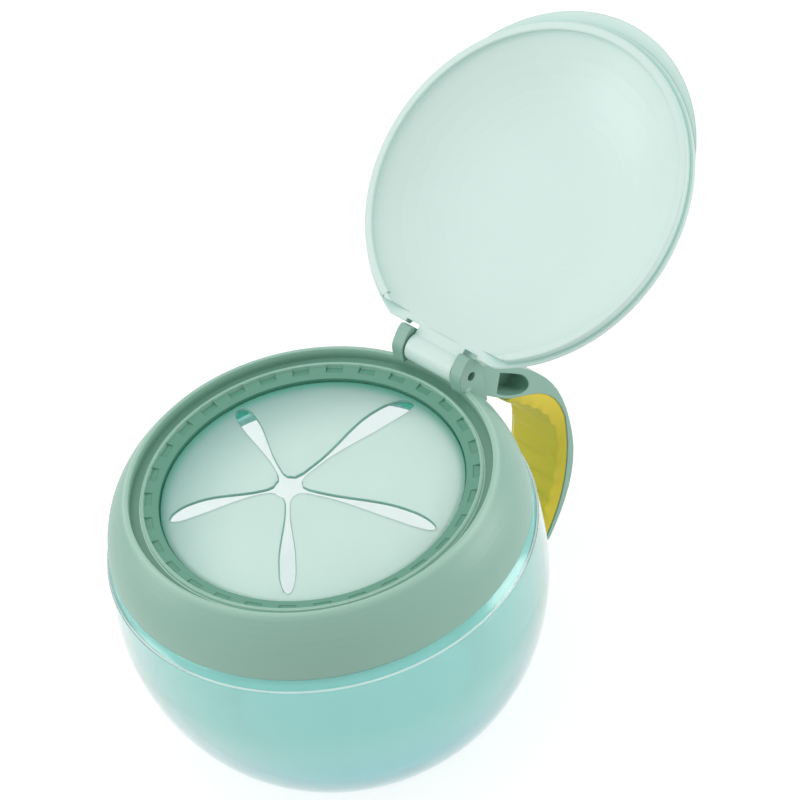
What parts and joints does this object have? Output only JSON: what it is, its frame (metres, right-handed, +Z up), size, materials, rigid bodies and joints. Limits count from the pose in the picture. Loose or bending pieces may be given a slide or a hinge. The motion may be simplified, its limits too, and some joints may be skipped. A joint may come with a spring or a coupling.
{
  "type": "toddler snack container",
  "caption": "Round lidded snack cup for a toddler: translucent bowl, screw-on collar with a gripped side handle, flip lid and a soft flapped opening a small hand can reach through.",
  "frame": {"origin": "centre of the flat base, on the surface the cup stands on", "axes": "+Z up along the bowl's axis, +X towards the handle and the lid's hinge, +Y along the hinge pin"},
  "size_m": [0.148, 0.0888, 0.1076],
  "materials": {
    "bowl": "gloss, translucent aqua",
    "insert": "satin, translucent mint silicone",
    "collar": "satin sage green",
    "grip": "matt soft yellow, ribbed",
    "pin": "plain",
    "lid": "satin pale mint"
  },
  "bodies": {
    "bowl": {"bowl": "bowl"},
    "insert": {"insert_rim": "insert"},
    "flap_1": {"flap_1": "insert"},
    "flap_2": {"flap_2": "insert"},
    "flap_3": {"flap_3": "insert"},
    "flap_4": {"flap_4": "insert"},
    "flap_5": {"flap_5": "insert"},
    "collar": {"collar": "collar", "handle": "collar", "grip": "grip", "hinge_pin": "pin"},
    "lid": {"lid": "lid"}
  },
  "joints": [
    {"name": "insert_lift", "type": "slide", "parent": "bowl", "child": "insert", "axis": [0, 0, 1], "range_m": [0, 0.0076]},
    {"name": "collar_turn", "type": "hinge", "parent": "insert", "child": "collar", "pos_m": [0, 0, 0.0495], "axis": [0, 0, 1], "range_deg": [0, 225]},
    {"name": "lid_hinge", "type": "hinge", "parent": "collar", "child": "lid", "pos_m": [0.038, 0, 0.0649], "axis": [0, 1, 0], "range_deg": [-148, 0]},
    {"name": "flap_1_bend", "type": "hinge", "parent": "insert", "child": "flap_1", "pos_m": [0.01752, 0.01333, 0.05883], "axis": [0.5983, -0.8013, 0], "range_deg": [0, 50], "stiffness_Nm_per_rad": 0.01},
    {"name": "flap_2_bend", "type": "hinge", "parent": "insert", "child": "flap_2", "pos_m": [-0.00725, 0.02138, 0.05876], "axis": [0.9497, 0.3132, 0], "range_deg": [0, 50], "stiffness_Nm_per_rad": 0.01},
    {"name": "flap_3_bend", "type": "hinge", "parent": "insert", "child": "flap_3", "pos_m": [-0.0225, 0.00038, 0.05876], "axis": [0.0131, 0.9999, 0], "range_deg": [0, 50], "stiffness_Nm_per_rad": 0.01},
    {"name": "flap_4_bend", "type": "hinge", "parent": "insert", "child": "flap_4", "pos_m": [-0.00862, -0.02122, 0.05879], "axis": [-0.9304, 0.3665, 0], "range_deg": [0, 50], "stiffness_Nm_per_rad": 0.01},
    {"name": "flap_5_bend", "type": "hinge", "parent": "insert", "child": "flap_5", "pos_m": [0.01636, -0.01322, 0.05888], "axis": [-0.6259, -0.7799, 0], "range_deg": [0, 50], "stiffness_Nm_per_rad": 0.01}
  ],
  "couplings": [
    {"joint": "insert_lift", "follows": "collar_turn", "m_per_rad": 0.0019099}
  ]
}
